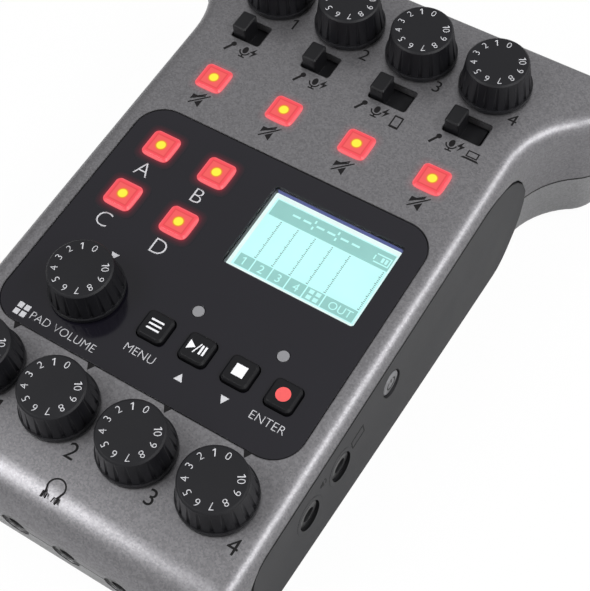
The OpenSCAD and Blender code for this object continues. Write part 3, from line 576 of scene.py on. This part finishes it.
# White printing on the control panel
panelInk = {"top": -0.15, "letter": 3.7, "caption": 1.85, "thin": 0.016, "arrow": (1.0, 0.9),
            "up": [(7.85, -35.6)], "down": [(18.3, -35.5), (-20.9, -18.9)],
            "grid": 1.3, "gridGap": 0.4, "gridAt": (-30.2, -39.3)}
padLetters = {"A": (-28.5, 3.2), "B": (-13.8, 3.2), "C": (-28.6, -12.0), "D": (-13.7, -12.0)}
captions = {"MENU": (-2.45, -35.3), "ENTER": (28.75, -35.1), "PAD VOLUME": (-19.4, -39.3)}
shape = bmesh.new()
for texts, height in ((padLetters, panelInk["letter"]), (captions, panelInk["caption"])):
    for text, (x, y) in texts.items():
        words(shape, spot(x, y, panelInk["top"]), text, height, panelInk["thin"])
across, along = panelInk["arrow"]
for x, y in panelInk["up"]:
    polygon(shape, spot(x, y, panelInk["top"]), [(-across, -along), (across, -along), (0, along)])
for x, y in panelInk["down"]:
    polygon(shape, spot(x, y, panelInk["top"]), [(across, along), (-across, along), (0, -along)])
half = panelInk["grid"] / 2
shift = half + panelInk["gridGap"] / 2
gridX, gridY = panelInk["gridAt"]
for x in (-shift, shift):
    for y in (-shift, shift):
        box(shape, spot(gridX + x, gridY + y, panelInk["top"]), -half, -half, half, half)
printed("panelPrint", shape, "case", paint["ink_white"])

# Painted red light on the surfaces round the lit keys: emission standing in for the light they spill, which
# fades outwards
keyGlow = {"loops": [(3.62, 1.0), (3.9, 0.55), (4.4, 0.18), (5.3, 0.0)], "bend": 5, "steps": 40}


def squareReach(x, y):
    return (abs(x) ** keyGlow["bend"] + abs(y) ** keyGlow["bend"]) ** (1 / keyGlow["bend"])


def glowRing(shape, place):
    turns = [2 * math.pi * i / keyGlow["steps"] for i in range(keyGlow["steps"])]
    aims = [Vector((math.cos(t), math.sin(t), 0)) for t in turns]
    halves = [half for half, share in keyGlow["loops"]]
    ring = [shape.verts.new(place @ (aim * halves[0] / squareReach(aim.x, aim.y))) for aim in aims]
    edges = [shape.edges.new((ring[i - 1], ring[i])) for i in range(len(ring))]
    for inner, outer in zip(halves, halves[1:]):
        made = bmesh.ops.extrude_edge_only(shape, edges=edges)["geom"]
        ring = [v for v in made if isinstance(v, bmesh.types.BMVert)]
        edges = [e for e in made if isinstance(e, bmesh.types.BMEdge) and all(v in ring for v in e.verts)]
        grow = outer / inner
        bmesh.ops.scale(shape, vec=(grow, grow, 1), space=place.inverted(), verts=ring)


def glowRings(name, nodes, height, material):
    shape = bmesh.new()
    places = [onDeck(node) for node in nodes]
    for place in places:
        glowRing(shape, spot(place.x, place.y, height))
    obj = printed(name, shape, "case", material)
    fade = obj.data.attributes.new("glow", "FLOAT", "POINT")
    for vertex, value in zip(obj.data.vertices, fade.data):
        at = deck.inverted() @ vertex.co
        reach = min(squareReach(at.x - p.x, at.y - p.y) for p in places)
        value.value = min(keyGlow["loops"], key=lambda loop: abs(loop[0] - reach))[1]


glowRings("padGlow", padKeys, panelInk["top"], paint["panel_glow"])
glowRings("muteGlow", muteKeys, 0, paint["deck_glow"])


# Black printing on the deck
def handMicIcon(shape, place):
    bar(shape, place, (-0.75, -1.36), (0.35, 0.63), 0.6)
    disc(shape, place, 0.62, 1.12, 0.66, 16)


def studioMicIcon(shape, place):
    ellipse(shape, place, 0, 0.55, 0.68, 1.02)
    arcBand(shape, place, 0, 0.35, 1.25, 0.34, 185, 170, 12)
    bar(shape, place, (0, -0.85), (0, -1.5), 0.36)
    bar(shape, place, (-0.8, -1.55), (0.8, -1.55), 0.34)


def boltIcon(shape, place):
    polygon(shape, place, [(0.25, 1.5), (-0.9375, -0.1875), (-0.0625, -0.1875), (-0.375, -1.5),
                           (0.9375, 0.3125), (0.0625, 0.3125)])


def phoneIcon(shape, place):
    for x in (-1, 1):
        bar(shape, place, (x, -1.75), (x, 1.75), 0.34)
    for y, width in ((-1.5, 0.6), (1.55, 0.42)):
        bar(shape, place, (-0.84, y), (0.84, y), width)


def laptopIcon(shape, place):
    for x in (-1, 1):
        bar(shape, place, (x * 1.25, -0.5), (x * 1.25, 1.3), 0.3)
    bar(shape, place, (-1.1, 1.15), (1.1, 1.15), 0.3)
    bar(shape, place, (-1.1, -0.35), (1.1, -0.35), 0.3)
    polygon(shape, place, [(-2.2, -1.2), (2.2, -1.2), (1.6, -0.7), (-1.6, -0.7)])


def mutedIcon(shape, place):
    polygon(shape, place, [(-2, -0.75), (-2, 0.8), (-0.85, 0.8), (0.95, 2.25), (0.95, 1.3)])
    polygon(shape, place, [(-0.5, -1.15), (0.95, -2.2), (0.95, 0.2)])
    bar(shape, place, (-1.85, -1.85), (2.1, 1.95), 0.34)


def headphonesIcon(shape, place):
    arcBand(shape, place, 0, 0.7, 1.95, 0.36, -14, 208, 20)
    for x in (-1, 1):
        bar(shape, place, (x * 1.88, 0.4), (x * 1.35, -1.15), 0.36)
        bar(shape, place, (x * 1.75, -0.85), (x * 1.65, -2.3), 0.55)
        bar(shape, place, (x * 0.85, -1.0), (x * 0.75, -2.2), 0.3)


deckInk = {"volumeNumber": (8.1, -60, 3.6), "gainNumber": (7.75, 55.4, 3.2), "pointer": (-43.15, 0.95, 0.8),
           "muted": (0.2, 25.6), "handMic": (-5.0, 42.3), "studioMic": (-0.9, 42.5), "bolt": (1.25, 43.1),
           "third": (4.6, 42.0), "twoWayShift": 2.7, "headphones": (0.5, -68.6)}
thirdPlace = {2: phoneIcon, 3: laptopIcon}
channelX = [onDeck(f"volume_knob_{i}").x for i in range(1, 5)]


def besideChannel(shape, draw, key, x):
    dx, y = deckInk[key]
    draw(shape, spot(x + dx, y))


shape = bmesh.new()
for i, x in enumerate(channelX):
    for key in ("volumeNumber", "gainNumber"):
        dx, y, height = deckInk[key]
        numeral(shape, spot(x + dx, y), str(i + 1), height)
    y, across, along = deckInk["pointer"]
    polygon(shape, spot(x, y), [(across, along), (-across, along), (0, -along)])
    besideChannel(shape, mutedIcon, "muted", x)
    micX = x if i in thirdPlace else x + deckInk["twoWayShift"]
    for draw, key in ((handMicIcon, "handMic"), (studioMicIcon, "studioMic"), (boltIcon, "bolt")):
        besideChannel(shape, draw, key, micX)
    if i in thirdPlace:
        besideChannel(shape, thirdPlace[i], "third", x)
headphonesIcon(shape, spot(*deckInk["headphones"]))
printed("deckPrint", shape, "case", paint["ink_black"])

# Symbols on the transport keys
keyMarks = {"menuBar": (3.1, 0.42, 1.05), "square": 1.35, "dot": 1.62}


def menuMark(shape, place):
    length, width, pitch = keyMarks["menuBar"]
    for row in (-1, 0, 1):
        bar(shape, place, (-length / 2, row * pitch), (length / 2, row * pitch), width)


def playMark(shape, place):
    polygon(shape, place, [(-2.1, -1.15), (-0.35, 0), (-2.1, 1.15)])
    bar(shape, place, (-0.35, -1.25), (0.55, 1.25), 0.26)
    for x in (1.05, 1.85):
        box(shape, place @ spot(x, 0), -0.24, -1.1, 0.24, 1.1)


def stopMark(shape, place):
    half = keyMarks["square"]
    box(shape, place, -half, -half, half, half)


def recordMark(shape, place):
    disc(shape, place, 0, 0, keyMarks["dot"])


marks = {"menu_key": (menuMark, "ink_bright"), "play_key": (playMark, "ink_bright"),
         "stop_key": (stopMark, "ink_bright"), "record_key": (recordMark, "ink_red")}
for node, (mark, ink) in marks.items():
    shape = bmesh.new()
    place = onDeck(node)
    mark(shape, spot(place.x, deckRows["transport"], keyTop))
    printed(f"symbol_{node}", shape, node, paint[ink])
print("printing made")

# The display's picture, in the plane of its face, with the blue wall of its gasket behind, drawn glowing as
# painted light from the display
lcd = {"face": -2.4, "field": (0.95, -6.55, 31.35, 12.7), "header": (1.35, 8.1, 31.2, 12.4),
       "headerMid": 10.5, "cells": (-6.3, -3.25), "edges": (1.4, 5.4, 9.85, 14.15, 18.5, 23.0, 31.1),
       "gap": 0.32, "dashes": (6.2, 8.95, 12.3, 15.05, 18.4, 21.2), "dash": (1.95, 0.5),
       "colons": (11.65, 17.5), "colon": (0.2, 0.4, 0.85), "numbers": (3.2, 7.6, 12.0, 16.4), "number": 2.0,
       "outAt": 27.4, "out": 1.9}
lcdMeter = {"columns": (5.05, 9.35, 13.75, 18.1, 22.5, 30.75), "rows": 24, "pitch": 0.45, "majorEvery": 4,
            "major": 0.42, "minor": 0.22, "right": 0.12, "half": 0.1}
lcdBattery = {"at": (27.0, 10.1), "side": 1.05, "ends": (0.3, 3.95), "line": 0.3,
              "caps": ((0.15, 0.6), (3.8, 0.9)), "bars": (2.1, 3.0), "bar": (0.3, 0.6)}
lcdPads = {"columns": (19.95, 21.6), "row": 0.72, "half": (0.55, 0.5)}
inkTop = lcd["face"] + inkDepth["proud"]
markTop = inkTop + inkDepth["proud"]
shape = bmesh.new()
box(shape, spot(0, 0, lcd["face"]), *lcd["field"])
printed("lcdField", shape, "case", paint["lcd_field"])
shape = bmesh.new()
box(shape, spot(0, 0, inkTop), *lcd["header"])
low, high = lcd["cells"]
for left, right in zip(lcd["edges"], lcd["edges"][1:]):
    box(shape, spot(0, 0, inkTop), left + lcd["gap"] / 2, low, right - lcd["gap"] / 2, high)
printed("lcdBlocks", shape, "case", paint["lcd_ink"])
shape = bmesh.new()
for x in lcdMeter["columns"]:
    for row in range(lcdMeter["rows"]):
        left = lcdMeter["minor"] if row % lcdMeter["majorEvery"] else lcdMeter["major"]
        dot = spot(x, high + (row + 1) * lcdMeter["pitch"], inkTop)
        box(shape, dot, -left, -lcdMeter["half"], lcdMeter["right"], lcdMeter["half"])
printed("lcdMeterDots", shape, "case", paint["lcd_dots"])


def centredBox(shape, x, y, halfX, halfY):
    box(shape, spot(x, y, markTop), -halfX, -halfY, halfX, halfY)


shape = bmesh.new()
dashLength, dashWidth = lcd["dash"]
for x in lcd["dashes"]:
    bar(shape, spot(x, lcd["headerMid"], markTop), (0, 0), (dashLength, 0), dashWidth)
halfX, halfY, drop = lcd["colon"]
for x in lcd["colons"]:
    for y in (-drop, drop):
        centredBox(shape, x, lcd["headerMid"] + y, halfX, halfY)
batteryX, batteryY = lcdBattery["at"]
battery = spot(batteryX, batteryY, markTop)
for y in (-lcdBattery["side"], lcdBattery["side"]):
    bar(shape, battery, (lcdBattery["ends"][0], y), (lcdBattery["ends"][1], y), lcdBattery["line"])
for x, half in lcdBattery["caps"]:
    bar(shape, battery, (x, -half), (x, half), lcdBattery["line"])
for x in lcdBattery["bars"]:
    centredBox(shape, batteryX + x, batteryY, *lcdBattery["bar"])
cellMid = (low + high) / 2
for i, x in enumerate(lcd["numbers"]):
    numeral(shape, spot(x, cellMid, markTop), str(i + 1), lcd["number"])
for x in lcdPads["columns"]:
    for y in (-lcdPads["row"], lcdPads["row"]):
        centredBox(shape, x, cellMid + y, *lcdPads["half"])
words(shape, spot(lcd["outAt"], cellMid, markTop), "OUT", lcd["out"])
printed("lcdCharacters", shape, "case", paint["lcd_marks"])
gasket = {"left": 0.25, "right": 31.95, "back": 13.84, "low": -2.3, "high": -0.9}
shape = bmesh.new()
standing = Matrix.Translation((0, gasket["back"], 0)) @ Matrix.Rotation(math.radians(90), 4, "X")
box(shape, standing, gasket["left"], gasket["low"], gasket["right"], gasket["high"])
printed("displayGasket", shape, "case", paint["gasket_blue"], Vector((0, -1, 0)))
print("display picture made")

# Marks on the right grip
gripFace = {"edge": 42.8, "top": -2.9, "draft": 7}


def onGrip(y, z):
    lean = math.radians(gripFace["draft"])
    x = gripFace["edge"] + (gripFace["top"] - z) * math.tan(lean)
    c, s = math.cos(lean), math.sin(lean)
    return Matrix(((0, -s, c, x), (1, 0, 0, y), (0, c, s, z), (0, 0, 0, 1)))


sideMarks = {"phone": (-25.2, -9.4), "phoneSides": (2.3, 1.3), "phoneEnds": (2.14, 1.15), "phoneLine": 0.32,
             "speaker": (-38.3, -7.2)}
soundWave = {"x": 0.1, "y": 0, "radius": 1.0, "width": 0.26, "start": -50, "sweep": 100, "steps": 8}
horn = [(-1.0, -0.4), (-0.5, -0.4), (0.2, -0.95), (0.2, 0.95), (-0.5, 0.4), (-1.0, 0.4)]
shape = bmesh.new()
outward = onGrip(0, 0).to_3x3() @ Vector((0, 0, 1))
phone = onGrip(*sideMarks["phone"])
sideX, sideY = sideMarks["phoneSides"]
endX, endY = sideMarks["phoneEnds"]
for side in (-1, 1):
    bar(shape, phone, (side * sideX, -sideY), (side * sideX, sideY), sideMarks["phoneLine"])
    bar(shape, phone, (-endX, side * endY), (endX, side * endY), sideMarks["phoneLine"])
speaker = onGrip(*sideMarks["speaker"])
polygon(shape, speaker, horn)
arcBand(shape, speaker, **soundWave)
printed("gripPrint", shape, "case", paint["ink_black"], outward)

# Collars that narrow the recesses round the side jacks
jackCollar = {"rows": (-32.15, -44.35), "height": -10.6, "inner": 3.45, "outer": 4.5, "steps": 48}
middle = (jackCollar["inner"] + jackCollar["outer"]) / 2
width = jackCollar["outer"] - jackCollar["inner"]
shape = bmesh.new()
for y in jackCollar["rows"]:
    arcBand(shape, onGrip(y, jackCollar["height"]), 0, 0, middle, width, 0, 360, jackCollar["steps"])
printed("jackCollars", shape, "case", paint["grip_plain"], outward)

# The symbol on the power key
powerRing = {"x": 0, "y": 0, "radius": 1.5, "width": 0.36, "start": 120, "sweep": 300}
powerBar = (0.4, 1.95)
shape = bmesh.new()
powerPlace = onDeck("power_key")
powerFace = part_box("power_key")[1].x / mm
upright = Matrix(((0, 0, 1, powerFace), (1, 0, 0, powerPlace.y), (0, 1, 0, powerPlace.z), (0, 0, 0, 1)))
arcBand(shape, upright, **powerRing)
bar(shape, upright, (0, powerBar[0]), (0, powerBar[1]), powerRing["width"])
printed("powerSymbol", shape, "power_key", paint["ink_black"], Vector((1, 0, 0)))
print("side marks made")

# Stage: pale floor, white surroundings and soft boxes
stageSet = {"floorHalf": 1.5, "floorTone": 0.65, "floorRough": 0.9, "floorSeen": 0.97, "worldFill": 0.55,
            "skyFrom": -0.9, "skyTo": 0.3, "leftSky": 0.45, "rightSky": 1.05}


def paleFloor():
    shape = bmesh.new()
    bmesh.ops.create_grid(shape, x_segments=2, y_segments=2, size=stageSet["floorHalf"])
    mesh = bpy.data.meshes.new("floor")
    shape.to_mesh(mesh)
    shape.free()
    floor = bpy.data.objects.new("floor", mesh)
    bpy.context.scene.collection.objects.link(floor)
    material, tree, shader = newMaterial("paleFloor")
    tone = stageSet["floorTone"]
    shader.inputs["Base Color"].default_value = (tone, tone, tone, 1)
    shader.inputs["Roughness"].default_value = stageSet["floorRough"]
    glow = tree.nodes.new("ShaderNodeEmission")
    seen = tree.nodes.new("ShaderNodeLightPath")
    share = tree.nodes.new("ShaderNodeMath")
    share.operation = "MULTIPLY"
    share.inputs[1].default_value = stageSet["floorSeen"]
    mix = tree.nodes.new("ShaderNodeMixShader")
    end = next(n for n in tree.nodes if n.type == "OUTPUT_MATERIAL")
    tree.links.new(seen.outputs["Is Camera Ray"], share.inputs[0])
    tree.links.new(share.outputs["Value"], mix.inputs["Fac"])
    tree.links.new(shader.outputs["BSDF"], mix.inputs[1])
    tree.links.new(glow.outputs["Emission"], mix.inputs[2])
    tree.links.new(mix.outputs["Shader"], end.inputs["Surface"])
    dress(floor, material)


def whiteWorld():
    world = bpy.data.worlds.new("studio")
    bpy.context.scene.world = world
    world.use_nodes = True
    tree = world.node_tree
    back = tree.nodes["Background"]
    back.inputs["Color"].default_value = (1, 1, 1, 1)
    rays = tree.nodes.new("ShaderNodeLightPath")
    aim = tree.nodes.new("ShaderNodeTexCoord")
    split = tree.nodes.new("ShaderNodeSeparateXYZ")
    tree.links.new(aim.outputs["Generated"], split.inputs["Vector"])
    sky = tree.nodes.new("ShaderNodeMapRange")
    ends = {"From Min": "skyFrom", "From Max": "skyTo", "To Min": "leftSky", "To Max": "rightSky"}
    for label, key in ends.items():
        sky.inputs[label].default_value = stageSet[key]
    tree.links.new(split.outputs["X"], sky.inputs["Value"])
    lit = remap(tree, rays.outputs["Is Glossy Ray"], stageSet["worldFill"], sky.outputs["Result"])
    seen = tree.nodes.new("ShaderNodeMath")
    seen.operation = "MAXIMUM"
    tree.links.new(rays.outputs["Is Camera Ray"], seen.inputs[0])
    tree.links.new(lit, seen.inputs[1])
    tree.links.new(seen.outputs["Value"], back.inputs["Strength"])


softBoxes = {
    "rightBox": {"at": (0.57, 0.06, 0.64), "size": (1.0, 0.24), "watts": 6.2},
    "leftBox": {"at": (-0.40, -0.42, 0.64), "size": (0.36, 0.46), "watts": 5.0},
}


def softBox(name, look):
    lamp = bpy.data.lights.new(name, "AREA")
    lamp.shape = "RECTANGLE"
    lamp.size, lamp.size_y = look["size"]
    lamp.energy = look["watts"]
    obj = bpy.data.objects.new(name, lamp)
    obj.location = look["at"]
    obj.rotation_euler = (deckOrigin - Vector(look["at"])).to_track_quat("-Z", "Y").to_euler()
    bpy.context.scene.collection.objects.link(obj)


camera = {"at": (0.10263, -0.14478, 0.25721), "turn": (34.973, 0.065, 31.975), "lens": 80.84, "sensor": 36,
          "near": 0.01}


def photoCamera():
    data = bpy.data.cameras.new("camera")
    data.sensor_fit = "HORIZONTAL"
    data.sensor_width = camera["sensor"]
    data.lens = camera["lens"]
    data.clip_start = camera["near"]
    obj = bpy.data.objects.new("camera", data)
    obj.location = camera["at"]
    obj.rotation_euler = [math.radians(a) for a in camera["turn"]]
    bpy.context.scene.collection.objects.link(obj)
    bpy.context.scene.camera = obj


paleFloor()
whiteWorld()
for name, look in softBoxes.items():
    softBox(name, look)
photoCamera()
bpy.context.scene.view_settings.view_transform = "Standard"
print("stage set")
